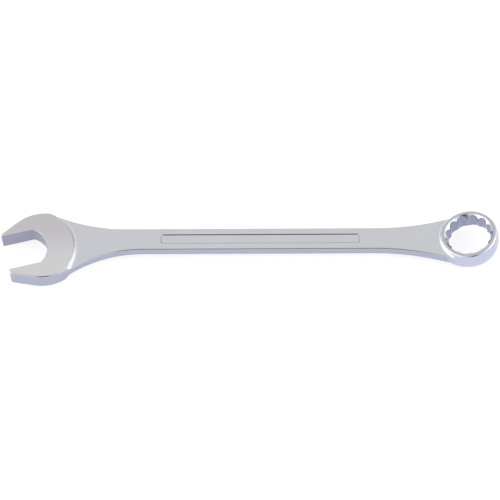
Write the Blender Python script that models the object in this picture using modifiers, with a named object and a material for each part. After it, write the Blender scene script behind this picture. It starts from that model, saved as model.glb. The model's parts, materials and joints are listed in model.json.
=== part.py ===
"""A 32 mm combination wrench in drop-forged steel, modelled lying on its back.

The forging runs along X: the open end at -X, the flat shank in the middle and the tilted
twelve-point ring at +X. It is modelled as its three forged zones, split along the feet of the
two shoulder fillets. Every outline is drawn in the shank frame, where the shank's centreline
is the X axis and its mid-plane is Z = 0, and the empty wrench_frame then puts the whole tool
on its base with the origin at the centre of its footprint.
"""
import math

import bmesh
import bpy
from mathutils import Matrix, Vector

# Driving dimensions, in metres and degrees; GAP is the clearance between two zones
ACROSS_FLATS = 0.0322
GAP = 0.0003

JAW_CENTRE = Vector((-0.1789, -0.0105))
JAW_ANGLE = 15.0
JAW_REACH = 0.0163
HEAD_ARC_SETBACK = 0.014
HEAD_RADIUS = 0.0309
HEAD_FLARE = 26.5
HEAD_THICKNESS = 0.0140
HEAD_EDGE = 0.0012
SEAT_RADIUS = 0.0200
SEAT_DEPTH = 0.0176
SEAT_ROUND = 0.0040

BOSS_RADIUS = 0.0383
BOSS_FOOT = 0.0417

SHANK_WIDTH = 0.020
SHANK_THICKNESS = 0.0077
SHANK_EDGE = 0.0009
NECK_FILLET_FAR = 0.132
NECK_FILLET_NEAR = 0.095

PANEL_START = -0.0710
PANEL_END = 0.0875
PANEL_WIDTH = 0.0082
PANEL_CORNER = 0.0012
PANEL_DEPTH = 0.0005

RING_CENTRE = Vector((0.176, -0.0006, 0.0027))
RING_TILT = 12.5
RING_THICKNESS = 0.0156
RING_FACE_RADIUS = 0.0218
RING_RADIUS = 0.0232
RING_EDGE = 0.0008
RING_NECK_FILLET = 0.200
RING_FOOT = 0.0262
LEAD_IN_RADIUS = 0.0192
DISH_RADIUS = 0.015
RING_WALL_MIDDLE = 0.0200
RING_POINTS = 12

FRAME_SHIFT = Vector((0.00022, 0.00688, 0.00963))

# Facets of the curves, and how finely meshes are joined
ARC_STEP = 4.0
LARGE_ARC_STEPS = 10
CORNER_STEPS = 6
SHOULDER_STEPS = 6
WALL_STEPS = 8
TURN_STEPS = 72
EDGE_RINGS = 1
WELD_DISTANCE = 1e-6
AXIS_MERGE = 1e-5
SHARP_ANGLE = 30.0

# How far the jaw gap's cutter runs out past the tips
REACH = 0.5

FINISHES = {
    "open_end_head": ((0.60, 0.59, 0.60), 0.34),
    "shank": ((0.60, 0.61, 0.64), 0.30),
    "ring_head": ((0.62, 0.62, 0.66), 0.22),
}


def clear_scene():
    """Remove every object, so that the script gives the same result in any file."""
    for old in list(bpy.data.objects):
        bpy.data.objects.remove(old, do_unlink=True)


def new_collection(name):
    """Add a collection to the scene."""
    collection = bpy.data.collections.new(name)
    bpy.context.scene.collection.children.link(collection)
    return collection


def steel(name):
    """Make the chrome steel of one zone from its colour and roughness."""
    colour, roughness = FINISHES[name]
    material = bpy.data.materials.new(name + "_steel")
    material.use_nodes = True
    shader = material.node_tree.nodes["Principled BSDF"]
    shader.inputs["Base Color"].default_value = (*colour, 1.0)
    shader.inputs["Metallic"].default_value = 1.0
    shader.inputs["Roughness"].default_value = roughness
    return material


def polar(centre, radius, degrees):
    """Point at an angle from +X on a circle in the plan."""
    turn = math.radians(degrees)
    return Vector((centre[0] + radius * math.cos(turn), centre[1] + radius * math.sin(turn)))


def arc(centre, radius, start, end, steps=None):
    """Points along an arc in the plan, from one angle to another, ends included."""
    if steps is None:
        steps = max(2, round(abs(end - start) / ARC_STEP))
    return [polar(centre, radius, start + (end - start) * i / steps) for i in range(steps + 1)]


def jaw_point(out, across):
    """Point in the plan from its distance out of the jaw and its distance to the near jaw."""
    turn = math.radians(JAW_ANGLE)
    out_axis = Vector((-math.cos(turn), -math.sin(turn)))
    across_axis = Vector((math.sin(turn), -math.cos(turn)))
    return JAW_CENTRE + out * out_axis + across * across_axis


def angle_of(step):
    """Angle of a step in the plan, from +X."""
    return math.degrees(math.atan2(step[1], step[0]))


def neck_arc(head_centre, head_radius, edge_y, radius, towards):
    """Concave arc that runs from the shank's edge to a round head, tangent to both.

    towards is -1 for the head at -X and +1 for the ring at +X. Returns the points from the
    shank to the head, with the angle on the head's circle where the arc ends.
    """
    side = 1.0 if edge_y > 0 else -1.0
    centre_y = edge_y + side * radius
    along = math.sqrt((head_radius + radius) ** 2 - (centre_y - head_centre[1]) ** 2)
    centre = Vector((head_centre[0] - towards * along, centre_y))
    meet = angle_of(head_centre.to_2d() - centre)
    start = -90.0 * side
    sweep = (meet - start + 180.0) % 360.0 - 180.0
    points = arc(centre, radius, start, start + sweep, LARGE_ARC_STEPS)
    return points, angle_of(centre - head_centre.to_2d())


def body_outline():
    """Closed plan outline of the forging, from the jaw tips to the inside of the ring's wall."""
    half = SHANK_WIDTH / 2
    head_centre = jaw_point(-HEAD_ARC_SETBACK, 0.0)
    far_neck, far_angle = neck_arc(head_centre, HEAD_RADIUS, half, NECK_FILLET_FAR, -1)
    near_neck, near_angle = neck_arc(head_centre, HEAD_RADIUS, -half, NECK_FILLET_NEAR, -1)
    far_ring, far_end = neck_arc(RING_CENTRE, RING_RADIUS, half, RING_NECK_FILLET, 1)
    near_ring, near_end = neck_arc(RING_CENTRE, RING_RADIUS, -half, RING_NECK_FILLET, 1)
    out_of_jaw = 180.0 + JAW_ANGLE
    far_flare = out_of_jaw - (90.0 - HEAD_FLARE)
    near_flare = out_of_jaw + (90.0 - HEAD_FLARE)
    flare = math.radians(HEAD_FLARE)
    flare_start = HEAD_RADIUS * math.sin(flare) - HEAD_ARC_SETBACK
    tip = HEAD_RADIUS * math.cos(flare) - (JAW_REACH - flare_start) * math.tan(flare)
    outline = [jaw_point(JAW_REACH, -tip), jaw_point(JAW_REACH, tip)]
    outline += arc(head_centre, HEAD_RADIUS, near_flare, near_angle + 360.0)
    outline += reversed(near_neck[:-1])
    outline += near_ring
    outline += [polar(RING_CENTRE, RING_WALL_MIDDLE, near_end),
                polar(RING_CENTRE, RING_WALL_MIDDLE, far_end)]
    outline += reversed(far_ring)
    outline += far_neck[:-1]
    outline += arc(head_centre, HEAD_RADIUS, far_angle, far_flare)
    return outline


def rounded_corners(corners, radii):
    """Polygon with each corner replaced by an arc of its radius that touches both sides."""
    points = []
    count = len(corners)
    for index, (corner, radius) in enumerate(zip(corners, radii)):
        back = (corners[index - 1] - corner).normalized()
        ahead = (corners[(index + 1) % count] - corner).normalized()
        half_turn = math.acos(max(-1.0, min(1.0, back.dot(ahead)))) / 2
        centre = corner + (back + ahead).normalized() * (radius / math.sin(half_turn))
        first = angle_of(corner + back * (radius / math.tan(half_turn)) - centre)
        last = angle_of(corner + ahead * (radius / math.tan(half_turn)) - centre)
        sweep = (last - first + 180.0) % 360.0 - 180.0
        points += arc(centre, radius, first, first + sweep, CORNER_STEPS)
    return points


def jaw_outline():
    """Outline of the jaw gap: two parallel flats that run into a round seat.

    The seat is one arc about a point on the jaw's axis, and a small arc blends it into each
    flat: it touches the flat from inside the gap and the seat's arc from inside its circle.
    """
    half = ACROSS_FLATS / 2
    seat_middle = SEAT_RADIUS - SEAT_DEPTH
    blend_across = half - SEAT_ROUND
    blend_out = seat_middle - math.sqrt((SEAT_RADIUS - SEAT_ROUND) ** 2 - blend_across ** 2)
    meet = math.degrees(math.atan2(blend_across, seat_middle - blend_out))
    outline = [jaw_point(REACH, -half)]
    far_blend = jaw_point(blend_out, -blend_across)
    far_meet, near_meet = JAW_ANGLE + meet, JAW_ANGLE - meet
    outline += arc(far_blend, SEAT_ROUND, JAW_ANGLE + 90.0, far_meet)
    outline += arc(jaw_point(seat_middle, 0.0), SEAT_RADIUS, far_meet, near_meet)
    near_blend = jaw_point(blend_out, blend_across)
    outline += arc(near_blend, SEAT_ROUND, near_meet, JAW_ANGLE - 90.0)
    outline.append(jaw_point(REACH, half))
    return outline


def panel_outline():
    """Outline of the sunk panel in the shank's face, a rectangle with rounded corners."""
    half = PANEL_WIDTH / 2
    corners = [Vector((x, y)) for x, y in (
        (PANEL_START, -half), (PANEL_END, -half), (PANEL_END, half), (PANEL_START, half))]
    return rounded_corners(corners, [PANEL_CORNER] * len(corners))


def twelve_point_outline():
    """Outline of two hexagons crossed at 30 degrees, with its ridges on the X axis."""
    corner = ACROSS_FLATS / math.sqrt(3.0)
    ridge = ACROSS_FLATS / 2 / math.cos(math.radians(15.0))
    step = 180.0 / RING_POINTS
    points = range(2 * RING_POINTS)
    return [polar((0.0, 0.0), corner if i % 2 else ridge, step * i) for i in points]


def plate(name, outline, thickness, edge, collection):
    """Closed mesh of a plan outline, thickened about Z = 0, with round edges of a given radius."""
    curve = bpy.data.curves.new(name, "CURVE")
    curve.dimensions = "2D"
    curve.fill_mode = "BOTH"
    curve.extrude = thickness / 2 - edge
    curve.bevel_depth = edge
    curve.bevel_resolution = EDGE_RINGS
    curve.offset = -edge
    spline = curve.splines.new("POLY")
    spline.points.add(len(outline) - 1)
    for target, point in zip(spline.points, outline):
        target.co = (point[0], point[1], 0.0, 1.0)
    spline.use_cyclic_u = True
    drawn = bpy.data.objects.new(name + "_outline", curve)
    collection.objects.link(drawn)
    evaluated = drawn.evaluated_get(bpy.context.evaluated_depsgraph_get())
    mesh = bpy.data.meshes.new_from_object(evaluated)
    bpy.data.objects.remove(drawn, do_unlink=True)
    weld(mesh)
    solid = bpy.data.objects.new(name, mesh)
    collection.objects.link(solid)
    return solid


def weld(mesh):
    """Join a mesh's loose caps and turn its faces outwards."""
    work = bmesh.new()
    work.from_mesh(mesh)
    bmesh.ops.remove_doubles(work, verts=work.verts, dist=WELD_DISTANCE)
    bmesh.ops.recalc_face_normals(work, faces=work.faces)
    work.to_mesh(mesh)
    work.free()


def turned(name, profile, collection):
    """Solid of revolution about Z from a profile of (radius, height), top to bottom."""
    mesh = bpy.data.meshes.new(name)
    points = [(radius, 0.0, height) for radius, height in profile]
    mesh.from_pydata(points, [(i, i + 1) for i in range(len(points) - 1)], [])
    spun = bpy.data.objects.new(name + "_profile", mesh)
    collection.objects.link(spun)
    screw = spun.modifiers.new("turn", "SCREW")
    screw.steps = TURN_STEPS
    screw.render_steps = TURN_STEPS
    screw.use_merge_vertices = True
    screw.merge_threshold = AXIS_MERGE
    evaluated = spun.evaluated_get(bpy.context.evaluated_depsgraph_get())
    result = bpy.data.meshes.new_from_object(evaluated)
    bpy.data.objects.remove(spun, do_unlink=True)
    weld(result)
    solid = bpy.data.objects.new(name, result)
    collection.objects.link(solid)
    return solid


def as_cutter(solid):
    """Keep a guide or cutter out of the finished tool."""
    solid.hide_render = True
    solid.display_type = "WIRE"
    return solid


def combine(target, tool, operation):
    """Add an exact Boolean of one solid with another."""
    modifier = target.modifiers.new(tool.name, "BOOLEAN")
    modifier.operation = operation
    modifier.object = tool
    modifier.solver = "EXACT"


def boss_profile():
    """Half section of the head's boss: a flat top, a concave shoulder and a thin foot."""
    top = HEAD_THICKNESS / 2 + GAP
    foot = SHANK_THICKNESS / 2
    width = BOSS_FOOT - BOSS_RADIUS
    height = HEAD_THICKNESS / 2 - foot
    shoulder = []
    for step in range(SHOULDER_STEPS + 1):
        turn = math.radians(90.0 * step / SHOULDER_STEPS)
        radius = BOSS_FOOT - width * math.sin(turn)
        shoulder.append((radius, foot + height * (1.0 - math.cos(turn))))
    upper = [(0.0, top), (BOSS_RADIUS, top)] + shoulder[::-1]
    return upper + [(radius, -height_at) for radius, height_at in upper[::-1]]


def cylinder_profile(radius, half_height):
    """Half section of a cylinder about Z."""
    return [(0.0, half_height), (radius, half_height), (radius, -half_height), (0.0, -half_height)]


def ring_profile():
    """Half section of the ring before its hole is broached.

    Each face is dished by the 45 degree lead-in, and the outer wall is bulged between two
    rounded edges.
    """
    half = RING_THICKNESS / 2
    bulge = RING_RADIUS - RING_FACE_RADIUS - RING_EDGE / 2
    dish = half - (LEAD_IN_RADIUS - DISH_RADIUS)
    wall = []
    for step in range(WALL_STEPS + 1):
        level = 1.0 - 2.0 * step / WALL_STEPS
        wall.append((RING_RADIUS - bulge * level * level, level * (half - RING_EDGE)))
    face = [(0.0, dish), (DISH_RADIUS, dish), (LEAD_IN_RADIUS, half), (RING_FACE_RADIUS, half)]
    return face + wall + [(radius, -height) for radius, height in face[::-1]]


def finish(solid, name, frame):
    """Dress one zone and hang it on the wrench's frame."""
    solid.name = name
    solid.data.materials.clear()
    solid.data.materials.append(steel(name))
    solid.parent = frame
    solid.data.shade_smooth()
    solid.data.set_sharp_from_angle(angle=math.radians(SHARP_ANGLE))


def make_open_end_head(tool, cutters, frame):
    """Head: the thick outline inside the boss's shoulder, less the jaw gap."""
    head = plate("open_end_head", body_outline(), HEAD_THICKNESS, HEAD_EDGE, tool)
    boss = as_cutter(turned("boss_limit", boss_profile(), cutters))
    boss.location = (*JAW_CENTRE, 0.0)
    jaw = as_cutter(plate("jaw_gap", jaw_outline(), HEAD_THICKNESS * 2, 0.0, cutters))
    combine(head, boss, "INTERSECT")
    combine(head, jaw, "DIFFERENCE")
    boss.parent = frame
    jaw.parent = frame
    finish(head, "open_end_head", frame)
    return head


def make_shank(tool, cutters, frame):
    """Shank: the thin outline between the two heads, with a sunk panel in each face."""
    shank = plate("shank", body_outline(), SHANK_THICKNESS, SHANK_EDGE, tool)
    head_side = as_cutter(
        turned("head_seam", cylinder_profile(BOSS_FOOT + GAP, SHANK_THICKNESS), cutters))
    head_side.location = (*JAW_CENTRE, 0.0)
    ring_side = as_cutter(
        turned("ring_seam", cylinder_profile(RING_FOOT + GAP, SHANK_THICKNESS), cutters))
    ring_side.location = (RING_CENTRE.x, RING_CENTRE.y, 0.0)
    combine(shank, head_side, "DIFFERENCE")
    combine(shank, ring_side, "DIFFERENCE")
    for face in (1, -1):
        panel = as_cutter(plate("panel", panel_outline(), PANEL_DEPTH * 2, 0.0, cutters))
        panel.location.z = face * SHANK_THICKNESS / 2
        combine(shank, panel, "DIFFERENCE")
        panel.parent = frame
    head_side.parent = frame
    ring_side.parent = frame
    finish(shank, "shank", frame)
    return shank


def make_ring_head(tool, cutters, frame):
    """Ring: a turned, tilted ring with its neck stub, broached through with twelve points."""
    neck = plate("ring_head", body_outline(), SHANK_THICKNESS, SHANK_EDGE, tool)
    foot = as_cutter(turned("ring_foot", cylinder_profile(RING_FOOT, SHANK_THICKNESS), cutters))
    foot.location = (RING_CENTRE.x, RING_CENTRE.y, 0.0)
    body = as_cutter(turned("ring_body", ring_profile(), cutters))
    hole = as_cutter(plate("ring_hole", twelve_point_outline(), RING_THICKNESS * 2, 0.0, cutters))
    combine(neck, foot, "INTERSECT")
    combine(neck, body, "UNION")
    combine(neck, hole, "DIFFERENCE")
    for piece in (body, hole):
        piece.location = RING_CENTRE
        piece.rotation_euler = (0.0, -math.radians(RING_TILT), 0.0)
        piece.parent = frame
    foot.parent = frame
    finish(neck, "ring_head", frame)
    return neck


def main():
    """Build the three zones on their shared frame."""
    clear_scene()
    tool = new_collection("combination_wrench")
    cutters = new_collection("cutters")
    frame = bpy.data.objects.new("wrench_frame", None)
    tool.objects.link(frame)
    frame.location = FRAME_SHIFT
    make_open_end_head(tool, cutters, frame)
    make_shank(tool, cutters, frame)
    make_ring_head(tool, cutters, frame)


main()
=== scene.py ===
"""The looks of the 32 mm combination wrench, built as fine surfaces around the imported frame.

Every surface is worked out in the tool's own plan: X along the shank's centreline, Y across it
and Z from the shank's mid-plane. ToolFrame then puts the finished points in the frame's place.
"""
import json
import logging
import math
from dataclasses import dataclass, field, replace
from enum import Enum, IntEnum
from typing import Sequence

import bpy
import numpy as np
from mathutils import Matrix, Vector

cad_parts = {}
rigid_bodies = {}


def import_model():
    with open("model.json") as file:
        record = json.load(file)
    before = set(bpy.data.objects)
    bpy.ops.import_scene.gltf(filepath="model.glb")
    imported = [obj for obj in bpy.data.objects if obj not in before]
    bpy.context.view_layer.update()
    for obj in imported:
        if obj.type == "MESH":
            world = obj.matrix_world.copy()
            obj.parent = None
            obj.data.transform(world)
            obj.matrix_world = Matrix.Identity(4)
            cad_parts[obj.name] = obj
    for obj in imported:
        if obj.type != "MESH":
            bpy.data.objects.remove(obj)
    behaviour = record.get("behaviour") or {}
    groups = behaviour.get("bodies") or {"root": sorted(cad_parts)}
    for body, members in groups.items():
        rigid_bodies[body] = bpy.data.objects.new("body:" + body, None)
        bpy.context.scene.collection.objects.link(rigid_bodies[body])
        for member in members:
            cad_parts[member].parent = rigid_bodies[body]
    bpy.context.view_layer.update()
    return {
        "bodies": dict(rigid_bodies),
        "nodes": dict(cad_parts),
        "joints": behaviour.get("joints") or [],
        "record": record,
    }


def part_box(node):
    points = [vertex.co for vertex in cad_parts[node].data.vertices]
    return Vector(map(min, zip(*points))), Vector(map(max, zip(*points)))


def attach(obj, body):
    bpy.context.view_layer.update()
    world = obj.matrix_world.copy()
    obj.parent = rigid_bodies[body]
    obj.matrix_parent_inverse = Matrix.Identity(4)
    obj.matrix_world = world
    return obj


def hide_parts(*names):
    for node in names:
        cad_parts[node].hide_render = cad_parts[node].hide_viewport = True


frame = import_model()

log = logging.getLogger("combination_wrench")

Array = np.ndarray
TINY = 1e-9
CHUNK = 4000
FAR, NEAR = -1, 1
POINTS = 12
NOSE_STEPS = 12
FLAT_STEPS = 80
BLEND_STEPS = 40
SEAT_STEPS = 160
CORNER_STEPS = 22
SLOPE_STEPS = 60
BACK_STEPS = 200
NECK_STEPS = 160
STRAIGHT_STEPS = 80
FINE_DETAIL = 4.0
BROAD_DETAIL = 3.0
NOISE_LOW, NOISE_HIGH = 0.3, 0.7


class Zone(Enum):
    """The three forged zones, named as their nodes are."""

    HEAD = "open_end_head"
    SHANK = "shank"
    RING = "ring_head"


class Slot(Enum):
    """The record's material slots."""

    HEAD = "ground_head"
    SHANK = "satin_shank"
    RING = "polished_ring"


class HeadLook(IntEnum):
    """Material numbers of the head's faces."""

    FACE = 0
    SIDE = 1
    JAW = 2
    SHOULDER = 3
    SHADED_EDGE = 4


class ShankLook(IntEnum):
    """Material numbers of the shank's faces."""

    FACE = 0
    SIDE = 1
    PANEL_WALL_SHADE = 2
    SHADED_EDGE = 3


class RingLook(IntEnum):
    """Material numbers of the ring's and its neck's faces."""

    NECK_FACE = 0
    WALL = 1
    BROACHED = 2
    FACE = 3
    LEAD_IN = 4
    SHOULDER = 5
    NECK_SIDE = 6


# ---------------------------------------------------------------- plan geometry


def polar(centre: Sequence[float], radius: float, degrees: Array) -> Array:
    """Points on a circle: the centre plus the radius times the cosine and sine of each angle.

    Args:
        centre: X and Y of the circle's centre.
        radius: its radius.
        degrees: angles from +X.

    Returns:
        One row of X and Y for each angle.
    """
    turn = np.radians(np.asarray(degrees, dtype=float))
    return np.asarray(centre)[None, :2] + radius * np.stack([np.cos(turn), np.sin(turn)], axis=-1)


def arc(centre: Sequence[float], radius: float, start: float, end: float, count: int) -> Array:
    """Evenly spaced points of an arc, ends included.

    Args:
        centre: X and Y of the arc's centre.
        radius: its radius.
        start: first angle in degrees.
        end: last angle in degrees.
        count: how many points.

    Returns:
        The arc's points in order.
    """
    return polar(centre, radius, np.linspace(start, end, count))


def line(first: Sequence[float], last: Sequence[float], count: int) -> Array:
    """Evenly spaced points from one end of a straight stretch to the other."""
    share = np.linspace(0.0, 1.0, count)[:, None]
    return np.asarray(first)[None] * (1.0 - share) + np.asarray(last)[None] * share


def chain(*parts: Array) -> Array:
    """Join stretches end to end, leaving out points that repeat.

    Args:
        parts: arrays of points, each starting where the last one ends.

    Returns:
        One path.
    """
    path = np.concatenate(parts)
    step = np.linalg.norm(np.diff(path, axis=0), axis=1)
    return path[np.concatenate([[True], step > TINY])]


def lengths(path: Array) -> Array:
    """Distance along a path to each of its points."""
    return np.concatenate([[0.0], np.cumsum(np.linalg.norm(np.diff(path, axis=0), axis=1))])


def at(path: Array, where: Array) -> Array:
    """Points at given distances along a path, found by linear interpolation."""
    run = lengths(path)
    return np.stack([np.interp(where, run, path[:, axis]) for axis in range(2)], axis=-1)


def cut_at_radius(path: Array, centre: Sequence[float], radius: float) -> tuple[Array, Array]:
    """Split a path where it first crosses a circle.

    Args:
        path: the points.
        centre: the circle's centre.
        radius: the circle's radius.

    Returns:
        The path up to the crossing and the path from it, both with the crossing itself.
    """
    reach = np.linalg.norm(path - np.asarray(centre)[None, :2], axis=1) - radius
    index = int(np.flatnonzero(reach[:-1] * reach[1:] <= 0.0)[0])
    share = reach[index] / (reach[index] - reach[index + 1])
    crossing = path[index] * (1.0 - share) + path[index + 1] * share
    return np.vstack([path[: index + 1], crossing]), np.vstack([crossing, path[index + 1:]])


def distance_to(points: Array, path: Array) -> Array:
    """Distance from each point to the nearest place on a path.

    The nearest place on each straight piece is its first end plus the point's projection on it,
    held between the piece's ends, and the smallest of these distances is kept.

    Args:
        points: any array whose last axis is X and Y.
        path: the path's points.

    Returns:
        The distances, shaped as the points are.
    """
    flat = points.reshape(-1, 2)
    start, step = path[:-1], np.diff(path, axis=0)
    square = (step**2).sum(1)
    best = np.empty(len(flat))
    for low in range(0, len(flat), CHUNK):
        offset = flat[low: low + CHUNK, None, :] - start[None]
        share = np.clip((offset * step[None]).sum(2) / square[None], 0.0, 1.0)
        gap = offset - share[..., None] * step[None]
        best[low: low + CHUNK] = np.sqrt((gap**2).sum(2)).min(1)
    return best.reshape(points.shape[:-1])


def rounding(depth: Array, radius: Array | float) -> Array:
    """How far a rounded edge lies below its face: a quarter circle that starts at the edge."""
    inside = np.clip(radius - depth, 0.0, radius)
    return radius - np.sqrt(radius**2 - inside**2)


def chamfer(depth: Array, width: float) -> Array:
    """How far a 45 degree chamfer lies below its face: its width less the distance inwards."""
    return np.clip(width - depth, 0.0, width)


def hollow(depth: Array, width: float, height: float) -> Array:
    """Height of a concave shoulder: a quarter ellipse, full height at 0 and nothing at its width."""
    share = np.clip(1.0 - depth / width, 0.0, 1.0)
    return height * (1.0 - np.sqrt(1.0 - share**2))


def graded(stops: Sequence[float], counts: Sequence[int]) -> Array:
    """Values that run from stop to stop with a count of steps for each stretch."""
    runs = [np.linspace(a, b, n, endpoint=False) for a, b, n in zip(stops, stops[1:], counts)]
    return np.concatenate(runs + [np.array([stops[-1]])])


def smooth(share: Array) -> Array:
    """Smooth step: three times the square of a share less twice its cube."""
    return share**2 * (3.0 - 2.0 * share)


def eased(count: int) -> Array:
    """Shares from 0 to 1, closer together at both ends by half a cosine wave."""
    return 0.5 - 0.5 * np.cos(np.linspace(0.0, math.pi, count))


# ---------------------------------------------------------------- the tool's measures


@dataclass(frozen=True)
class Jaw:
    """The open end in plan: its centre, its angle and the outline of its gap."""

    centre: tuple[float, float] = (-0.1789, -0.0105)
    angle: float = 15.0
    across_flats: float = 0.0322
    reach: float = 0.0163
    seat_radius: float = 0.0200
    seat_depth: float = 0.0176
    blend: float = 0.0040
    nose: float = 0.0004

    def place(self, out: Array, across: Array) -> Array:
        """Turn distances out of the jaw and towards the near jaw into plan points."""
        turn = math.radians(self.angle)
        out, across = np.asarray(out, dtype=float), np.asarray(across, dtype=float)
        x = self.centre[0] - out * math.cos(turn) + across * math.sin(turn)
        y = self.centre[1] - out * math.sin(turn) - across * math.cos(turn)
        return np.stack([x, y], axis=-1)

    def gap_half(self) -> Array:
        """Far half of the gap's outline as distances out and across, from tip to seat middle.

        A small arc rounds the nose, the flat follows, and the blend arc touches the flat and
        the seat's own arc, which ends on the jaw's axis.
        """
        half = self.across_flats / 2
        middle = self.seat_radius - self.seat_depth
        across = half - self.blend
        out = middle - math.sqrt((self.seat_radius - self.blend) ** 2 - across**2)
        meet = math.degrees(math.atan2(across, middle - out))
        nose = arc((self.reach - self.nose, half + self.nose), self.nose, 0.0, -90.0, NOSE_STEPS)
        blend = arc((out, across), self.blend, 90.0, 180.0 - meet, BLEND_STEPS)
        seat = arc((middle, 0.0), self.seat_radius, 180.0 - meet, 180.0, SEAT_STEPS)
        flat = line(nose[-1], blend[0], FLAT_STEPS)
        return chain(nose, flat, blend, seat)

    def gap(self) -> Array:
        """Whole outline of the gap in plan, from the far nose round the seat to the near one."""
        half = self.gap_half()
        far = self.place(half[:, 0], -half[:, 1])
        near = self.place(half[:, 0], half[:, 1])
        return chain(far, near[::-1])


@dataclass(frozen=True)
class Head:
    """The head around the jaw: its round back, its flared jaws and its raised boss."""

    setback: float = 0.0140
    radius: float = 0.0309
    far_flare: float = 28.6
    near_flare: float = 24.6
    tip_round: float = 0.0026
    thickness: float = 0.0140
    edge: float = 0.0013
    boss: float = 0.0383
    foot: float = 0.0417
    jaw_chamfer: float = 0.0002


@dataclass(frozen=True)
class Shank:
    """The flat shank, its neck fillets at the head and the sunk panel in each face."""

    width: float = 0.020
    thickness: float = 0.0077
    edge: float = 0.0009
    far_fillet: float = 0.132
    near_fillet: float = 0.095
    panel_start: float = -0.0710
    panel_end: float = 0.0875
    panel_width: float = 0.0082
    panel_corner: float = 0.0014
    panel_depth: float = 0.00055
    panel_wall: float = 0.00040


@dataclass(frozen=True)
class Ring:
    """The tilted twelve-point ring and the neck that runs into it."""

    centre: tuple[float, float, float] = (0.176, -0.0006, 0.0027)
    tilt: float = 12.5
    thickness: float = 0.0156
    face_radius: float = 0.02185
    radius: float = 0.0232
    edge: float = 0.0008
    neck_fillet: float = 0.200
    foot: float = 0.0262
    lead_in: float = 0.0192
    shoulder: float = 0.0024
    across_flats: float = 0.0322
    flute: float = 0.01875
    flute_power: float = 0.85
    merge_start: float = 0.0010
    merge_depth: float = 0.0024
    merge_turn: float = 26.0
    bulge_start: float = 0.35
    bulge_power: float = 2.2
    edge_turn: tuple[float, float] = (90.0, 20.0)
    shoulder_start: float = 0.0002
    shoulder_inset: float = 0.0004


@dataclass(frozen=True)
class ToolFrame:
    """Where the tool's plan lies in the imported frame."""

    origin: tuple[float, float, float]

    @classmethod
    def from_frame(cls, packed: dict, jaw: Jaw) -> "ToolFrame":
        """Find the plan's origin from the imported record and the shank's box.

        The jaw's centre lies between its two flat mounts, moved back by the distance that
        both lie out of it. The shank's mount gives the centreline, and its box the mid-plane.

        Args:
            jaw: the jaw, with its centre in plan.

        Returns:
            The tool's frame.
        """
        mounts = {item["name"]: item["pos_m"] for item in packed["record"]["mounts"]}
        far, near = Vector(mounts["far_jaw_flat"]), Vector(mounts["near_jaw_flat"])
        middle = (far + near) / 2
        centreline = mounts["shank_upper_face"][1]
        out = (centreline + jaw.centre[1] - middle[1]) / math.sin(math.radians(jaw.angle))
        origin_x = middle[0] + out * math.cos(math.radians(jaw.angle)) - jaw.centre[0]
        low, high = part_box(Zone.SHANK.value)
        return cls((origin_x, centreline, (low[2] + high[2]) / 2))

    def placed(self, points: Array) -> Array:
        """Move points from the tool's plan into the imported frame."""
        return points + np.asarray(self.origin)


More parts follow.
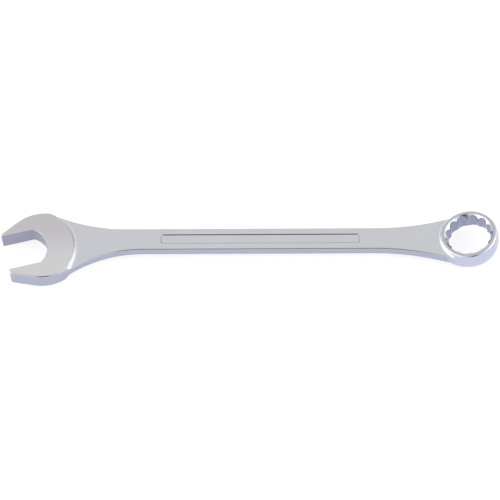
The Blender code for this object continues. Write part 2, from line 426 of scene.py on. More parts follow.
@dataclass
class Plan:
    """The forging's whole outline in plan, cut at the two seams."""

    jaw: Jaw
    head: Head
    shank: Shank
    ring: Ring
    far: Array = field(init=False)
    near: Array = field(init=False)
    far_head: Array = field(init=False)
    far_shank: Array = field(init=False)
    far_ring: Array = field(init=False)
    near_head: Array = field(init=False)
    near_shank: Array = field(init=False)
    near_ring: Array = field(init=False)

    def __post_init__(self) -> None:
        """Work out both edges and cut each at the head's seam and at the ring's."""
        self.far, self.near = self.edge(FAR), self.edge(NEAR)
        self.far_head, rest = cut_at_radius(self.far, self.jaw.centre, self.head.foot)
        self.far_shank, self.far_ring = cut_at_radius(rest, self.ring.centre, self.ring.foot)
        self.near_head, rest = cut_at_radius(self.near, self.jaw.centre, self.head.foot)
        self.near_shank, self.near_ring = cut_at_radius(rest, self.ring.centre, self.ring.foot)

    def neck(self, centre: Array, radius: float, side: int, fillet: float,
             towards: int) -> tuple[Array, Array]:
        """Concave neck that touches the shank's straight edge and a round head.

        Its centre lies a fillet's radius outside the edge, and both radii away from the head.

        Args:
            centre: the head's centre.
            radius: the head's radius.
            side: FAR for the edge at +Y, or NEAR.
            fillet: the neck's radius.
            towards: -1 for the head at -X, 1 for the ring at +X.

        Returns:
            The neck's points from the shank to the head, and its centre.
        """
        out_y = -side
        centre_y = out_y * (self.shank.width / 2 + fillet)
        along = math.sqrt((radius + fillet) ** 2 - (centre_y - centre[1]) ** 2)
        middle = np.array([centre[0] - towards * along, centre_y])
        start = -90.0 * out_y
        aim = math.degrees(math.atan2(*(centre[:2] - middle)[::-1]))
        sweep = (aim - start + 180.0) % 360.0 - 180.0
        return arc(middle, fillet, start, start + sweep, NECK_STEPS), middle

    def edge(self, side: int) -> Array:
        """One edge of the outline, from the middle of the jaw's tip to the ring's side.

        Args:
            side: FAR or NEAR.

        Returns:
            The edge's points.
        """
        jaw, head, shank, ring = self.jaw, self.head, self.shank, self.ring
        flare = math.radians(head.near_flare if side == NEAR else head.far_flare)
        back = jaw.place(-head.setback, 0.0)
        start = head.radius * math.sin(flare) - head.setback
        tip = head.radius * math.cos(flare) - (jaw.reach - start) * math.tan(flare)
        half_turn = (math.pi / 2 + flare) / 2
        trim = head.tip_round / math.tan(half_turn)
        corner = arc((jaw.reach - head.tip_round, tip - trim), head.tip_round, 0.0,
                     90.0 - math.degrees(flare), CORNER_STEPS)
        slope = line(corner[-1], (start, head.radius * math.cos(flare)), SLOPE_STEPS)
        first = line((jaw.reach, jaw.across_flats / 2 + jaw.nose), corner[0], NOSE_STEPS)
        nose = chain(first, corner, slope)
        nose = jaw.place(nose[:, 0], side * nose[:, 1])
        fillet = shank.near_fillet if side == NEAR else shank.far_fillet
        neck, middle = self.neck(back, head.radius, side, fillet, -1)
        out_of_jaw = 180.0 + jaw.angle
        begin = out_of_jaw + side * (90.0 - math.degrees(flare))
        end = math.degrees(math.atan2(*(middle - back)[::-1]))
        sweep = (end - begin) % 360.0 if side == NEAR else -((begin - end) % 360.0)
        round_back = arc(back, head.radius, begin, begin + sweep, BACK_STEPS)
        ring_neck, _ = self.neck(np.asarray(ring.centre), ring.radius, side, ring.neck_fillet, 1)
        straight = line(neck[0], ring_neck[0], STRAIGHT_STEPS)
        return chain(nose, round_back, neck[::-1], straight, ring_neck)

    def head_seam(self, across: Array) -> Array:
        """Points of the head's seam, from the near edge at 0 to the far edge at 1."""
        return self.seam(self.jaw.centre, self.head.foot, self.near_head[-1], self.far_head[-1], across)

    def ring_seam(self, across: Array) -> Array:
        """Points of the ring's seam, from the near edge at 0 to the far edge at 1."""
        return self.seam(self.ring.centre, self.ring.foot, self.near_ring[0], self.far_ring[0], across)

    @staticmethod
    def seam(centre: Sequence[float], radius: float, first: Array, last: Array, across: Array) -> Array:
        """Points of a seam's arc that divide the height between its ends evenly in Y."""
        y = first[1] + (last[1] - first[1]) * np.asarray(across)
        side = math.copysign(1.0, first[0] - centre[0])
        return np.stack([centre[0] + side * np.sqrt(radius**2 - (y - centre[1]) ** 2), y], axis=-1)


# ---------------------------------------------------------------- meshes


def grid_faces(rows: int, columns: int, closed: bool = False) -> Array:
    """Quads of a grid whose point (i, j) has the number i * columns + j.

    Args:
        rows: points along the first parameter.
        columns: points along the second.
        closed: join the last row to the first and the last column to the first.

    Returns:
        One row of four point numbers for each quad.
    """
    open_by = 0 if closed else 1
    i, j = np.meshgrid(np.arange(rows - open_by), np.arange(columns - open_by), indexing="ij")
    i, j = i.ravel(), j.ravel()
    up, right = (i + 1) % rows, (j + 1) % columns
    return np.stack([i * columns + j, up * columns + j, up * columns + right, i * columns + right], 1)


def outward(points: Array, faces: Array) -> Array:
    """Turn a closed shell's faces outwards, by the sign of its volume."""
    a, b, c, d = (points[faces[:, k]] for k in range(4))
    volume = (a * np.cross(b, c)).sum() + (a * np.cross(c, d)).sum()
    return faces if volume > 0 else faces[:, ::-1]


def slab(plan: Array, top: Array, bottom: Array, wall_rows: int = 6) -> tuple[Array, Array, Array]:
    """Closed shell between two heights over one plan grid, with upright walls around it.

    The top point of (i, j) is the plan's point at the top height and the bottom one the same
    point at the bottom height. The wall runs round the grid's rim and divides evenly in Z.

    Args:
        plan: the grid of X and Y.
        top: the heights of the upper face.
        bottom: the heights of the lower face.
        wall_rows: steps in the wall.

    Returns:
        The points, the quads, and for each quad whether it is on the wall.
    """
    rows, columns = plan.shape[:2]
    upper = np.concatenate([plan, top[..., None]], -1).reshape(-1, 3)
    lower = np.concatenate([plan, bottom[..., None]], -1).reshape(-1, 3)
    number = np.arange(rows * columns).reshape(rows, columns)
    rim = np.concatenate([number[0, :-1], number[:-1, -1], number[-1, :0:-1], number[:0:-1, 0]])
    levels = np.linspace(0.0, 1.0, wall_rows + 1)[1:-1, None, None]
    between = upper[rim][None] * (1.0 - levels) + lower[rim][None] * levels
    points = np.concatenate([upper, lower, between.reshape(-1, 3)])
    base = 2 * rows * columns
    ladder = np.concatenate([[rim], base + np.arange((wall_rows - 1) * len(rim)).reshape(-1, len(rim)),
                             [rim + rows * columns]])
    ahead = np.roll(ladder, -1, axis=1)
    wall = np.stack([ladder[:-1], ahead[:-1], ahead[1:], ladder[1:]], -1).reshape(-1, 4)
    flat = grid_faces(rows, columns)
    faces = np.concatenate([flat[:, ::-1], flat + rows * columns, wall[:, ::-1]])
    on_wall = np.concatenate([np.zeros(2 * len(flat), bool), np.ones(len(wall), bool)])
    return points, outward(points, faces), on_wall


@dataclass
class Piece:
    """A finished piece's shells, with a material number for each face."""

    name: str
    points: list[Array] = field(default_factory=list)
    faces: list[Array] = field(default_factory=list)
    looks: list[Array] = field(default_factory=list)

    def add(self, points: Array, faces: Array, looks: Array) -> None:
        """Add one closed shell.

        Args:
            points: its points in the tool's plan.
            faces: its quads.
            looks: the material number of each quad.
        """
        self.faces.append(faces + sum(len(part) for part in self.points))
        self.points.append(points)
        self.looks.append(looks)

    def build(self, place: ToolFrame, finishes: Sequence["SteelFinish"],
              crease: float) -> bpy.types.Object:
        """Make the mesh object, with its place in its mesh and its object at the origin.

        Args:
            place: where the tool's plan lies.
            finishes: the finishes, in the order of their material numbers.
            crease: angle in degrees from which an edge stays sharp.

        Returns:
            The object.
        """
        points = place.placed(np.concatenate(self.points))
        faces = np.concatenate(self.faces)
        mesh = bpy.data.meshes.new(self.name)
        mesh.from_pydata(points.tolist(), [], faces.tolist())
        for finish in finishes:
            mesh.materials.append(finish.material())
        mesh.polygons.foreach_set("material_index", np.concatenate(self.looks).astype(np.int32))
        mesh.shade_smooth()
        mesh.set_sharp_from_angle(angle=math.radians(crease))
        mesh.validate()
        mesh.update()
        piece = bpy.data.objects.new(self.name, mesh)
        bpy.context.scene.collection.objects.link(piece)
        return piece


# ---------------------------------------------------------------- finishes


@dataclass(frozen=True)
class Fade:
    """A slow change of a finish's tone along one axis, from one place to another."""

    axis: str
    start: float
    end: float
    colour: tuple[float, float, float]


@dataclass(frozen=True)
class SteelFinish:
    """A plated or ground steel surface, from its colours, its gloss and the scale of its grain."""

    name: str
    colour: tuple[float, float, float]
    worn: tuple[float, float, float]
    roughness: tuple[float, float]
    grain: tuple[float, float, float]
    depth: float
    turn: float = 0.0
    cloud: float = 60.0
    fade: Fade | None = None

    def material(self) -> bpy.types.Material:
        """Build the node material.

        A broad noise mixes the two colours, and a fine noise, stretched along the grain, moves the
        roughness between its limits and gives the bump.

        Returns:
            The material.
        """
        made = bpy.data.materials.new(self.name)
        made.use_nodes = True
        nodes, links = made.node_tree.nodes, made.node_tree.links
        shader = nodes["Principled BSDF"]
        shader.inputs["Metallic"].default_value = 1.0
        place = nodes.new("ShaderNodeTexCoord")
        stretch = nodes.new("ShaderNodeMapping")
        stretch.inputs["Scale"].default_value = self.grain
        stretch.inputs["Rotation"].default_value = (0.0, 0.0, math.radians(self.turn))
        links.new(place.outputs["Object"], stretch.inputs["Vector"])
        fine = self.noise(nodes, 1.0, FINE_DETAIL)
        links.new(stretch.outputs["Vector"], fine.inputs["Vector"])
        broad = self.noise(nodes, self.cloud, BROAD_DETAIL)
        links.new(place.outputs["Object"], broad.inputs["Vector"])
        tone = nodes.new("ShaderNodeMix")
        tone.data_type = "RGBA"
        tone.inputs["A"].default_value = (*self.colour, 1.0)
        tone.inputs["B"].default_value = (*self.worn, 1.0)
        links.new(broad.outputs["Fac"], tone.inputs["Factor"])
        shade = tone.outputs["Result"]
        if self.fade is not None:
            shade = self.faded(made.node_tree, place.outputs["Object"], shade)
        links.new(shade, shader.inputs["Base Color"])
        gloss = nodes.new("ShaderNodeMapRange")
        gloss.inputs["From Min"].default_value = NOISE_LOW
        gloss.inputs["From Max"].default_value = NOISE_HIGH
        gloss.inputs["To Min"].default_value = self.roughness[0]
        gloss.inputs["To Max"].default_value = self.roughness[1]
        links.new(fine.outputs["Fac"], gloss.inputs["Value"])
        links.new(gloss.outputs["Result"], shader.inputs["Roughness"])
        bump = nodes.new("ShaderNodeBump")
        bump.inputs["Strength"].default_value = 1.0
        bump.inputs["Distance"].default_value = self.depth
        links.new(fine.outputs["Fac"], bump.inputs["Height"])
        links.new(bump.outputs["Normal"], shader.inputs["Normal"])
        return made

    def faded(self, tree: bpy.types.NodeTree, where: bpy.types.NodeSocket,
              shade: bpy.types.NodeSocket) -> bpy.types.NodeSocket:
        """Mix the tone into the fade's own colour along the fade's axis.

        Args:
            tree: the material's node tree.
            where: the object coordinates.
            shade: the tone.

        Returns:
            The mixed tone.
        """
        split = tree.nodes.new("ShaderNodeSeparateXYZ")
        tree.links.new(where, split.inputs["Vector"])
        reach = tree.nodes.new("ShaderNodeMapRange")
        reach.interpolation_type = "SMOOTHSTEP"
        reach.inputs["From Min"].default_value = self.fade.start
        reach.inputs["From Max"].default_value = self.fade.end
        tree.links.new(split.outputs[self.fade.axis], reach.inputs["Value"])
        mixed = tree.nodes.new("ShaderNodeMix")
        mixed.data_type = "RGBA"
        tree.links.new(reach.outputs["Result"], mixed.inputs["Factor"])
        tree.links.new(shade, mixed.inputs["A"])
        mixed.inputs["B"].default_value = (*self.fade.colour, 1.0)
        return mixed.outputs["Result"]

    @staticmethod
    def noise(nodes: bpy.types.Nodes, scale: float, detail: float) -> bpy.types.Node:
        """Add a noise texture of a given scale and detail."""
        texture = nodes.new("ShaderNodeTexNoise")
        texture.inputs["Scale"].default_value = scale
        texture.inputs["Detail"].default_value = detail
        return texture


GROUND_FACE = SteelFinish("ground_face", (0.665, 0.652, 0.657), (0.610, 0.597, 0.603), (0.28, 0.40),
                          (260.0, 1900.0, 260.0), 0.000004, turn=-12.0, cloud=45.0,
                          fade=Fade("Y", -0.016, 0.018, (0.545, 0.530, 0.545)))
SATIN_FACE = SteelFinish("satin_face", (0.615, 0.617, 0.642), (0.570, 0.572, 0.600), (0.26, 0.36),
                         (60.0, 1500.0, 900.0), 0.000003, cloud=30.0)
# Upright sides: the blue tint of the base colour is a painted reflection of a bluish surround.
CHROME_SIDE = SteelFinish("chrome_side", (0.425, 0.442, 0.555), (0.385, 0.402, 0.515), (0.12, 0.20),
                          (300.0, 300.0, 700.0), 0.000005, cloud=70.0)
# Glossy fillets and lead-in chamfers: the base colour, lighter than the faces beside them, is a painted
# highlight.
PAINTED_HIGHLIGHT_FILLET = SteelFinish("fillet_painted_highlight", (0.68, 0.685, 0.71), (0.64, 0.645, 0.67), (0.16, 0.24),
                            (500.0, 500.0, 500.0), 0.000003, cloud=70.0)
# Rounded edges: a glossy copy of the steel whose darker base colour is painted shade along the edges.
SHADED_EDGE = SteelFinish("rounded_edge_painted_shade", (0.52, 0.53, 0.56), (0.48, 0.49, 0.52), (0.08, 0.14),
                   (500.0, 500.0, 500.0), 0.000002, cloud=70.0)
# Walls of the sunk panel: the dark base colour is painted shade in the recess.
PANEL_WALL_SHADE = SteelFinish("panel_wall", (0.27, 0.275, 0.29), (0.24, 0.245, 0.26), (0.12, 0.20),
                         (500.0, 500.0, 500.0), 0.000002, cloud=70.0)
# Neck sides: lighter towards the ring, with the same painted blue reflection.
NECK_SIDE = replace(CHROME_SIDE, name="neck_side", fade=Fade("X", 0.150, 0.166, (0.525, 0.55, 0.68)))
# Jaw flats: the blue tint of the base colour is a painted reflection.
MILLED_JAW = SteelFinish("milled_jaw", (0.345, 0.350, 0.450), (0.300, 0.305, 0.400), (0.22, 0.32),
                         (500.0, 500.0, 120.0), 0.000008, cloud=70.0)
# Twelve-point flutes: the blue tint of the base colour is a painted reflection.
BROACHED = SteelFinish("broached_points", (0.34, 0.36, 0.48), (0.29, 0.31, 0.42), (0.16, 0.26),
                       (900.0, 900.0, 100.0), 0.000010, cloud=90.0)
RING_FACE = SteelFinish("ring_face", (0.52, 0.52, 0.54), (0.48, 0.48, 0.50), (0.20, 0.30),
                        (900.0, 900.0, 900.0), 0.000003, cloud=60.0)
# Outer wall of the ring: the blue tint of the base colour is a painted reflection.
RING_WALL = SteelFinish("ring_wall", (0.545, 0.57, 0.70), (0.505, 0.53, 0.66), (0.14, 0.24),
                        (400.0, 400.0, 700.0), 0.000004, cloud=50.0)


# ---------------------------------------------------------------- the three zones


@dataclass
class OpenEndHead:
    """The open end as a horseshoe of cross lines, each from the gap's edge to the outline."""

    plan: Plan
    tip_stations: int = 34
    side_stations: int = 150
    seam_stations: int = 130
    face_rows: int = 46
    edge_rows: int = 22
    end_stations: int = 16
    tip_band: float = 0.004
    seam_band: float = 0.003
    draw_in: float = 14.0
    edge_band: float = 0.0022
    most_edge: float = 0.5
    most_chamfer: float = 0.3
    chamfer_levels: tuple[float, ...] = (0.0, 0.34, 0.67, 1.0)
    gap_reach: float = 0.0002
    crease: float = 40.0

    def outer_edge(self) -> Array:
        """Stations on the outer edge, closer together at the tips and at the seam's ends."""
        plan = self.plan
        stations = []
        for path in (plan.far_head, plan.near_head):
            whole = lengths(path)[-1]
            where = graded([0.0, self.tip_band, whole - self.seam_band, whole],
                           [self.tip_stations, self.side_stations, self.end_stations])
            stations.append(at(path, where))
        seam = plan.head_seam(1.0 - eased(self.seam_stations))
        return chain(stations[0], seam, stations[1][::-1])

    def inner_edge(self, outer: Array) -> Array:
        """Partner of each outer station on the gap's edge, at the same angle round the jaw.

        The ends are drawn together over a few degrees, so that the first and last cross lines
        lie along the tips' ends.

        Args:
            outer: the stations on the outer edge.

        Returns:
            The partners.
        """
        gap = self.plan.jaw.gap()
        centre = np.asarray(self.plan.jaw.centre)
        angles = [np.unwrap(np.arctan2(path[:, 1] - centre[1], path[:, 0] - centre[0]))
                  for path in (outer, gap)]
        ease = math.radians(self.draw_in)
        sign = math.copysign(1.0, angles[0][-1] - angles[0][0])
        turn = (angles[0] - angles[0][0]) * sign
        gap_turn = (angles[1] - angles[0][0]) * sign
        whole = turn[-1]
        wanted = np.interp(turn, [0.0, ease, whole - ease, whole],
                           [gap_turn[0], ease, whole - ease, gap_turn[-1]])
        return at(gap, np.interp(wanted, gap_turn, lengths(gap)))

    def build(self, place: ToolFrame) -> bpy.types.Object:
        """Build and dress the head.

        Each cross line goes from the gap's edge to the boss's rim, or to just inside a rounded
        edge, and on from there to the outer edge. The height is the boss's, less the shoulder,
        the rounded outer edge and the small chamfer along the gap.

        Args:
            place: where the tool's plan lies.

        Returns:
            The head's object.
        """
        plan, head = self.plan, self.plan.head
        outer = self.outer_edge()
        inner = self.inner_edge(outer)
        reach = outer - inner
        span = np.linalg.norm(reach, axis=1)
        centre = np.asarray(plan.jaw.centre)
        radius_in, radius_out = (np.linalg.norm(p - centre, axis=1) for p in (inner, outer))
        rim = (head.boss - radius_in) / np.maximum(radius_out - radius_in, TINY)
        edge_start = 1.0 - np.minimum(self.edge_band / np.maximum(span, TINY), self.most_edge)
        knee = np.where(radius_out > head.boss + head.edge, np.minimum(rim, edge_start), edge_start)
        chamfer_rows = np.array(self.chamfer_levels) * head.jaw_chamfer
        start = np.minimum(chamfer_rows[None] / np.maximum(span, TINY)[:, None], self.most_chamfer)
        even = np.linspace(0, 1, self.face_rows)[None, 1:]
        middle = start[:, -1:] + (knee[:, None] - start[:, -1:]) * even
        last = knee[:, None] + (1.0 - knee[:, None]) * eased(self.edge_rows)[None, 1:]
        share = np.concatenate([start, middle, last], axis=1)[..., None]
        grid = inner[:, None] + share * reach[:, None]
        to_outline = np.minimum(distance_to(grid, plan.far), distance_to(grid, plan.near))
        to_gap = distance_to(grid, plan.jaw.gap())
        radius = np.linalg.norm(grid - centre, axis=-1)
        foot = plan.shank.thickness / 2
        shoulder = hollow(radius - head.boss, head.foot - head.boss, head.thickness / 2 - foot)
        height = foot + np.where(radius < head.boss, head.thickness / 2 - foot, shoulder)
        fade = np.clip((radius - head.boss) / (head.foot - head.boss), 0.0, 1.0)
        height = height - rounding(to_outline, head.edge + (plan.shank.edge - head.edge) * fade)
        height = height - chamfer(to_gap, head.jaw_chamfer)
        points, faces, wall = slab(grid, height, -height)
        centres = points[faces].mean(1)
        out = np.linalg.norm(centres[:, :2] - centre, axis=1)
        gap_depth = distance_to(centres[:, :2], plan.jaw.gap())
        looks = np.where(wall, HeadLook.SIDE, HeadLook.FACE)
        looks = np.where(wall & (gap_depth < self.gap_reach), HeadLook.JAW, looks)
        to_side = np.minimum(distance_to(centres[:, :2], plan.far), distance_to(centres[:, :2], plan.near))
        # The shoulder fillet beyond the boss takes the painted highlight.
        looks = np.where(~wall & (out > head.boss), HeadLook.SHOULDER, looks)
        # The rounded edge band takes the painted shade.
        looks = np.where(~wall & (to_side < plan.shank.edge), HeadLook.SHADED_EDGE, looks)
        piece = Piece("open_end")
        piece.add(points, faces, looks)
        finishes = (GROUND_FACE, CHROME_SIDE, MILLED_JAW, PAINTED_HIGHLIGHT_FILLET, SHADED_EDGE)
        made = piece.build(place, finishes, self.crease)
        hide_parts(Zone.HEAD.value)
        return made


@dataclass
class FlatShank:
    """The shank as a patch between its two seams and its two edges."""

    plan: Plan
    head_end: float = -0.090
    ring_end: float = 0.100
    head_rows: int = 110
    ring_rows: int = 90
    long_counts: tuple[int, ...] = (20, 18, 130, 18, 14)
    cross_counts: tuple[int, ...] = (5, 6, 6, 16, 4)
    end_band: float = 0.0012
    wall_band: float = 1.6
    edge_split: float = 0.3
    wall_shares: tuple[float, float] = (0.02, 0.98)
    edge_share: float = 0.9
    crease: float = 40.0

    def across(self) -> Array:
        """Shares across the shank, closer together at the edges and at the panel's walls."""
        shank = self.plan.shank
        half = shank.width / 2
        wall = shank.panel_width / 2 / half
        step = shank.panel_wall / half
        edge = shank.edge / half
        near = graded([-1.0, -1.0 + edge * self.edge_split, -1.0 + edge, -wall - self.wall_band * step,
                       -wall + self.wall_band * step, 0.0], self.cross_counts)
        both = np.concatenate([near, -near[-2::-1]])
        return (both + 1.0) / 2

    def along(self) -> tuple[Array, Array, Array]:
        """Stations along the shank: shares of both ends' stretches, and X in the middle.

        Returns:
            Shares from the head's seam, X in the middle, shares to the ring's seam.
        """
        shank = self.plan.shank
        marks = [end + shift for end in (shank.panel_start, shank.panel_end)
                 for shift in (-self.end_band, self.end_band)]
        middle = graded([self.head_end, *marks, self.ring_end], self.long_counts)
        return np.linspace(0.0, 1.0, self.head_rows), middle[1:-1], np.linspace(0.0, 1.0, self.ring_rows)

    def side(self, path: Array) -> Array:
        """Points of one edge at every station, read off the edge at evenly divided X."""
        first, middle, last = self.along()
        x = np.concatenate([path[0, 0] + (self.head_end - path[0, 0]) * first, middle,
                            self.ring_end + (path[-1, 0] - self.ring_end) * last])
        return np.stack([x, np.interp(x, path[:, 0], path[:, 1])], axis=-1)

    def build(self, place: ToolFrame) -> bpy.types.Object:
        """Build and dress the shank.

        Straight lines join the two edges. Near each seam the line is bent into the seam's arc,
        by the arc's distance from its chord times a smooth share that fades away from the seam.
        The height falls at the rounded edges and in the panel, whose walls are smooth steps
        round a rectangle with rounded corners.

        Args:
            place: where the tool's plan lies.

        Returns:
            The shank's object.
        """
        plan, shank = self.plan, self.plan.shank
        f = self.across()
        first, middle, last = self.along()
        near, far = self.side(plan.near_shank), self.side(plan.far_shank)
        grid = (1 - f)[None, :, None] * near[:, None] + f[None, :, None] * far[:, None]
        rest, count = len(middle), len(first)
        bend = np.zeros((2, count + rest + len(last)))
        bend[0, :count] = 1.0 - smooth(first)
        bend[1, count + rest:] = smooth(last)
        for share, seam, row in ((bend[0], plan.head_seam(f), 0), (bend[1], plan.ring_seam(f), -1)):
            grid = grid + share[:, None, None] * (seam - grid[row])[None]
        to_edge = np.minimum(distance_to(grid, plan.far), distance_to(grid, plan.near))
        height = shank.thickness / 2 - rounding(to_edge, shank.edge) - self.panel(grid)
        points, faces, wall = slab(grid, height, -height)
        centres = points[faces].mean(1)[:, :2]
        sunk = self.panel(centres) / shank.panel_depth
        to_edge = np.minimum(distance_to(centres, plan.far), distance_to(centres, plan.near))
        looks = np.where(wall, ShankLook.SIDE, ShankLook.FACE)
        low, high = self.wall_shares
        # The sunk panel's walls take the painted shade.
        looks = np.where(~wall & (sunk > low) & (sunk < high), ShankLook.PANEL_WALL_SHADE, looks)
        # The rounded edge band takes the painted shade.
        looks = np.where(~wall & (to_edge < shank.edge * self.edge_share), ShankLook.SHADED_EDGE, looks)
        piece = Piece("flat_shank")
        piece.add(points, faces, looks)
        made = piece.build(place, (SATIN_FACE, CHROME_SIDE, PANEL_WALL_SHADE, SHADED_EDGE), self.crease)
        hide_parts(Zone.SHANK.value)
        return made

    def panel(self, grid: Array) -> Array:
        """Depth of the sunk panel at each plan point.

        The signed distance to a rectangle with rounded corners is measured from the corner
        circles' centres, and a smooth step over the wall's width turns it into a depth.

        Args:
            grid: the plan points.

        Returns:
            The depth, 0 outside the panel.
        """
        shank = self.plan.shank
        middle = (shank.panel_start + shank.panel_end) / 2
        half = np.array([(shank.panel_end - shank.panel_start) / 2, shank.panel_width / 2])
        offset = np.abs(grid - np.array([middle, 0.0])) - half + shank.panel_corner
        outside = np.linalg.norm(np.maximum(offset, 0.0), axis=-1) + np.minimum(offset.max(-1), 0.0)
        inside = np.clip((shank.panel_corner - outside) / shank.panel_wall / 2 + 0.5, 0.0, 1.0)
        return shank.panel_depth * smooth(inside)


@dataclass
class RingHead:
    """The ring as a profile carried round its axis, and the neck that runs into its wall."""

    plan: Plan
    per_point: int = 60
    neck_rows: int = 44
    merge_rows: int = 26
    neck_columns: int = 150
    wall_rows: int = 9
    lead_rows: int = 6
    face_rows: int = 6
    bend_rows: int = 8
    side_rows: int = 17
    rolled_face: int = 3
    lower_lead: tuple[float, ...] = (1.0, 0.75, 0.5, 0.25)
    bright_share: float = 0.8
    crease: float = 24.0

    def points_radius(self, turn: Array) -> Array:
        """Radius of the twelve-point wall at each angle, in radians.

        The ridge lies where two hexagons cross, at half the opening over cos 15 degrees. From
        there the radius grows to the flute's by a power of the sine of six turns, which leaves
        each ridge crisp and each flute round.

        Args:
            turn: the angles.

        Returns:
            The radii.
        """
        ring = self.plan.ring
        ridge = ring.across_flats / 2 / math.cos(math.radians(180.0 / POINTS))
        return ridge + (ring.flute - ridge) * np.abs(np.sin(POINTS / 2 * turn)) ** ring.flute_power

    def tilted(self, local: Array) -> Array:
        """Turn points of the ring's own frame about Y by its tilt and put them in the plan."""
        ring = self.plan.ring
        turn = math.radians(ring.tilt)
        x = local[..., 0] * math.cos(turn) - local[..., 2] * math.sin(turn)
        z = local[..., 0] * math.sin(turn) + local[..., 2] * math.cos(turn)
        return np.stack([x, local[..., 1], z], -1) + np.asarray(ring.centre)

    def annulus(self) -> tuple[Array, Array, Array]:
        """The ring's own closed shell.

        The profile starts at the foot of the twelve-point wall, climbs it, leans out along the
        45 degree lead-in, crosses the flat face, rounds the edge, follows the bulged wall down
        and comes back under the ring the same way. Only the wall and the lead-in's start move
        with the angle.

        Returns:
            The points, the quads and each quad's look.
        """
        ring = self.plan.ring
        turn = np.linspace(0.0, 2 * math.pi, POINTS * self.per_point, endpoint=False)
        half = ring.thickness / 2
        inner = self.points_radius(turn)
        wall_top = half - (ring.lead_in - inner)
        wall = np.linspace(-1.0, 1.0, self.wall_rows)
        radii = [inner for _ in wall]
        heights = [wall_top * level for level in wall]
        lead = np.linspace(0.0, 1.0, self.lead_rows)[1:]
        radii += [inner + (ring.lead_in - inner) * share for share in lead]
        heights += [wall_top + (half - wall_top) * share for share in lead]
        bend = np.radians(np.linspace(*ring.edge_turn, self.bend_rows))
        bulge = ring.radius - ring.face_radius - ring.edge * ring.bulge_start
        edge_middle = ring.face_radius - ring.edge
        face = [(r, half) for r in np.linspace(ring.lead_in, edge_middle, self.face_rows)[1:]]
        rolled = [(edge_middle + ring.edge * math.cos(b), half - ring.edge * (1 - math.sin(b)))
                  for b in bend[1:]]
        side = [(ring.radius - bulge * abs(level) ** ring.bulge_power, level * (half - ring.edge))
                for level in np.linspace(1.0, -1.0, self.side_rows)]
        outer = face + rolled + side + [(r, -z) for r, z in (face + rolled)[::-1]]
        radii += [np.full_like(turn, r) for r, _ in outer]
        heights += [np.full_like(turn, z) for _, z in outer]
        radii += [inner + (ring.lead_in - inner) * share for share in self.lower_lead]
        heights += [-wall_top - (half - wall_top) * share for share in self.lower_lead]
        radius, height = np.stack(radii, 1), np.stack(heights, 1)
        local = np.stack([radius * np.cos(turn)[:, None], radius * np.sin(turn)[:, None], height], -1)
        rows, columns = radius.shape
        faces = grid_faces(rows, columns, closed=True)
        bands = ((RingLook.BROACHED, len(wall) - 1), (RingLook.LEAD_IN, len(lead)),
                 (RingLook.FACE, len(face) + self.rolled_face),
                 (RingLook.WALL, 2 * len(rolled) + len(side) - self.rolled_face),
                 (RingLook.FACE, len(face)), (RingLook.LEAD_IN, len(self.lower_lead) + 1))
        looks = np.tile(np.repeat(*zip(*bands)), rows)
        points = self.tilted(local).reshape(-1, 3)
        return points, outward(points, faces), looks

    def neck(self) -> tuple[Array, Array, Array]:
        """The stub of the neck, from the seam to inside the ring's wall.

        Each row is an arc about the ring's centre between the two neck fillets. Past the place
        where a fillet touches the ring, it goes on as a spiral that sinks into the wall, with
        the square of its turn. The faces rise to the ring's wall in concave shoulders, held
        just inside the ring's own faces.

        Returns:
            The points, the quads and each quad's look.
        """
        plan, ring, shank = self.plan, self.plan.ring, self.plan.shank
        centre = np.asarray(ring.centre[:2])
        outer = 1.0 - np.linspace(0.0, 1.0, self.neck_rows)
        inner = np.linspace(0.0, 1.0, self.merge_rows)[1:]
        touch = ring.radius - ring.merge_start
        spiral = touch - (ring.merge_depth - ring.merge_start) * inner**2
        radius = np.concatenate([touch + (ring.foot - touch) * outer**2, spiral])
        limits = []
        for path, sweep in ((plan.near_ring, 1.0), (plan.far_ring, -1.0)):
            reach = np.linalg.norm(path - centre, axis=1)
            reach = reach - ring.merge_start * ((ring.foot - reach) / (ring.foot - ring.radius)) ** 2
            angle = np.arctan2(path[:, 1] - centre[1], path[:, 0] - centre[0]) % (2 * math.pi)
            reach = np.concatenate([reach, spiral])
            angle = np.concatenate([angle, angle[-1] + sweep * math.radians(ring.merge_turn) * inner])
            limits.append(np.interp(radius, reach[::-1], angle[::-1]))
        ease = eased(self.neck_columns)
        turn = limits[0][:, None] * (1 - ease)[None] + limits[1][:, None] * ease[None]
        grid = centre + radius[:, None, None] * np.stack([np.cos(turn), np.sin(turn)], -1)
        to_edge = np.minimum(distance_to(grid, grid[:, 0]), distance_to(grid, grid[:, -1]))
        tilt = math.radians(ring.tilt)
        depth = np.linalg.norm(grid - centre, axis=-1) - ring.radius * math.cos(tilt) - ring.shoulder_start
        rise = hollow(depth, ring.shoulder, ring.shoulder)
        plane = ring.centre[2] + (grid[..., 0] - centre[0]) * math.tan(tilt)
        half = (ring.thickness / 2 - ring.shoulder_inset) / math.cos(tilt)
        face = shank.thickness / 2
        top, bottom = face + rise, -face - rise
        top = np.where(rise > 0, np.minimum(top, np.maximum(plane + half, face)), top)
        bottom = np.where(rise > 0, np.maximum(bottom, np.minimum(plane - half, -face)), bottom)
        edge = rounding(to_edge, shank.edge)
        points, faces, wall = slab(grid, top - edge, bottom + edge)
        centres = points[faces].mean(1)
        out = np.linalg.norm(centres[:, :2] - centre, axis=1)
        looks = np.where(wall, RingLook.NECK_SIDE, RingLook.NECK_FACE)
        # The shoulder band next to the ring's wall takes the painted highlight.
        bright = ~wall & (out < ring.radius + ring.shoulder * self.bright_share)
        looks = np.where(bright, RingLook.SHOULDER, looks)
        return points, faces, looks

    def build(self, place: ToolFrame) -> bpy.types.Object:
        """Build and dress the ring and its neck.

        Args:
            place: where the tool's plan lies.

        Returns:
            The ring's object.
        """
        piece = Piece("twelve_point_ring")
        piece.add(*self.annulus())
        piece.add(*self.neck())
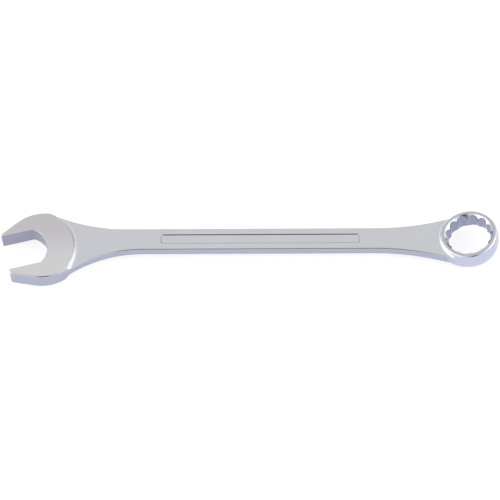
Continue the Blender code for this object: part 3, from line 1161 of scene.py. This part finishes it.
        # The lead-in and the shoulder take the painted highlight.
        finishes = (SATIN_FACE, RING_WALL, BROACHED, RING_FACE, PAINTED_HIGHLIGHT_FILLET, PAINTED_HIGHLIGHT_FILLET, NECK_SIDE)
        made = piece.build(place, finishes, self.crease)
        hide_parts(Zone.RING.value)
        return made


# ---------------------------------------------------------------- the studio


@dataclass(frozen=True)
class LightPatch:
    """A round patch of the studio's sky: where it is, how wide and how much it changes."""

    direction: tuple[float, float, float]
    inner: float
    outer: float
    change: float


@dataclass(frozen=True)
class Studio:
    """Pale floor, soft light and the camera."""

    elevation: float = 56.0
    distance: float = 1.28
    lens: float = 115.2
    roll: float = 0.26
    aim: tuple[float, float, float] = (0.0, -0.00844, 0.0)
    floor_size: float = 6.0
    floor_shade: float = 0.32
    floor_glow: float = 0.74
    sky: float = 0.97
    sky_colour: tuple[float, float, float] = (0.985, 0.99, 1.0)
    darkest: float = 0.04
    softbox: tuple[float, float, float] = (2.0, -0.1, 1.1)
    softbox_size: float = 1.2
    softbox_power: float = 5.0
    sensor: float = 36.0
    clip: tuple[float, float] = (0.05, 20.0)
    patches: tuple[LightPatch, ...] = (
        LightPatch((1.0, -0.15, 0.35), 14.0, 54.0, 0.90),
        LightPatch((-1.0, -0.15, 0.35), 14.0, 54.0, 0.90),
        LightPatch((0.0, -0.97, 0.10), 8.0, 18.0, -0.90),
        LightPatch((0.0, -0.87, 0.50), 8.0, 18.0, -0.90),
        LightPatch((0.0, -0.66, 0.75), 6.0, 17.0, -0.60),
        LightPatch((0.40, 0.91, 0.05), 12.0, 38.0, -0.22),
    )

    def floor(self) -> None:
        """Lay a pale matt floor under the tool's lowest edge."""
        half = self.floor_size / 2
        mesh = bpy.data.meshes.new("floor")
        corners = [(-half, -half, 0.0), (half, -half, 0.0), (half, half, 0.0), (-half, half, 0.0)]
        mesh.from_pydata(corners, [], [(0, 1, 2, 3)])
        paint = bpy.data.materials.new("pale_floor")
        paint.use_nodes = True
        shader = paint.node_tree.nodes["Principled BSDF"]
        shader.inputs["Base Color"].default_value = (self.floor_shade,) * 3 + (1.0,)
        shader.inputs["Roughness"].default_value = 1.0
        shader.inputs["Specular IOR Level"].default_value = 0.0
        shader.inputs["Emission Color"].default_value = (1.0, 1.0, 1.0, 1.0)
        shader.inputs["Emission Strength"].default_value = self.floor_glow
        mesh.materials.append(paint)
        ground = bpy.data.objects.new("floor", mesh)
        bpy.context.scene.collection.objects.link(ground)

    def world(self) -> None:
        """Light the studio: even, brighter at both sides, darker low in front and low behind.

        Each patch is a smooth step of the cosine between the ray and the patch's direction, and
        the strengths of the patches are added to the even light's.
        """
        world = bpy.data.worlds.new("studio")
        world.use_nodes = True
        bpy.context.scene.world = world
        nodes, links = world.node_tree.nodes, world.node_tree.links
        place = nodes.new("ShaderNodeTexCoord")
        total = None
        for patch in self.patches:
            facing = nodes.new("ShaderNodeVectorMath")
            facing.operation = "DOT_PRODUCT"
            facing.inputs[1].default_value = Vector(patch.direction).normalized()
            links.new(place.outputs["Generated"], facing.inputs[0])
            ramp = nodes.new("ShaderNodeMapRange")
            ramp.interpolation_type = "SMOOTHSTEP"
            ramp.inputs["From Min"].default_value = math.cos(math.radians(patch.outer))
            ramp.inputs["From Max"].default_value = math.cos(math.radians(patch.inner))
            ramp.inputs["To Min"].default_value = self.sky if total is None else 0.0
            ramp.inputs["To Max"].default_value = patch.change + (self.sky if total is None else 0.0)
            links.new(facing.outputs["Value"], ramp.inputs["Value"])
            if total is None:
                total = ramp.outputs["Result"]
                continue
            added = nodes.new("ShaderNodeMath")
            added.operation = "ADD"
            links.new(total, added.inputs[0])
            links.new(ramp.outputs["Result"], added.inputs[1])
            total = added.outputs["Value"]
        floor_level = nodes.new("ShaderNodeMath")
        floor_level.operation = "MAXIMUM"
        floor_level.inputs[1].default_value = self.darkest
        links.new(total, floor_level.inputs[0])
        links.new(floor_level.outputs["Value"], nodes["Background"].inputs["Strength"])
        nodes["Background"].inputs["Color"].default_value = (*self.sky_colour, 1.0)

    def lamp(self, name: str, place: Vector, target: Vector, size: float, power: float) -> None:
        """Hang a square soft light that faces a target.

        Args:
            name: the lamp's name.
            place: where it hangs.
            target: what it faces.
            size: its side.
            power: its power in watts.
        """
        light = bpy.data.lights.new(name, "AREA")
        light.size = size
        light.energy = power
        hung = bpy.data.objects.new(name, light)
        hung.location = place
        hung.rotation_euler = (target - place).to_track_quat("-Z", "Y").to_euler()
        bpy.context.scene.collection.objects.link(hung)

    def camera(self, place: ToolFrame) -> None:
        """Set the camera at its elevation, in front of the tool, with its small roll."""
        target = Vector(place.origin) + Vector(self.aim)
        rise, roll = math.radians(self.elevation), math.radians(self.roll)
        back = Vector((0.0, -math.cos(rise), math.sin(rise)))
        right = Vector((1.0, 0.0, 0.0))
        up = back.cross(right)
        across = math.cos(roll) * right - math.sin(roll) * up
        upward = math.sin(roll) * right + math.cos(roll) * up
        lens = bpy.data.cameras.new("camera")
        lens.lens = self.lens
        lens.sensor_width = self.sensor
        lens.clip_start, lens.clip_end = self.clip
        shot = bpy.data.objects.new("camera", lens)
        frame_axes = Matrix((across, upward, back)).transposed().to_4x4()
        shot.matrix_world = Matrix.Translation(target + back * self.distance) @ frame_axes
        bpy.context.scene.collection.objects.link(shot)
        bpy.context.scene.camera = shot

    def set_up(self, place: ToolFrame) -> None:
        """Build the whole studio.

        Args:
            place: where the tool's plan lies.
        """
        self.floor()
        self.world()
        middle = Vector(place.origin)
        out, front, up = self.softbox
        for name, side in (("left_softbox", -1.0), ("right_softbox", 1.0)):
            hung = middle + Vector((side * out, front, up))
            self.lamp(name, hung, middle, self.softbox_size, self.softbox_power)
        self.camera(place)
        bpy.context.scene.view_settings.view_transform = "Standard"


def main() -> None:
    """Build the three zones and the studio, and report each piece."""
    jaw = Jaw()
    place = ToolFrame.from_frame(frame, jaw)
    plan = Plan(jaw, Head(), Shank(), Ring())
    for zone in (OpenEndHead(plan), FlatShank(plan), RingHead(plan)):
        made = zone.build(place)
        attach(made, "root")
        log.info("%s: %d faces", made.name, len(made.data.polygons))
    Studio().set_up(place)
    log.info("studio set up about %s", place.origin)


if __name__ == "__main__":
    logging.basicConfig(level=logging.INFO)
    main()
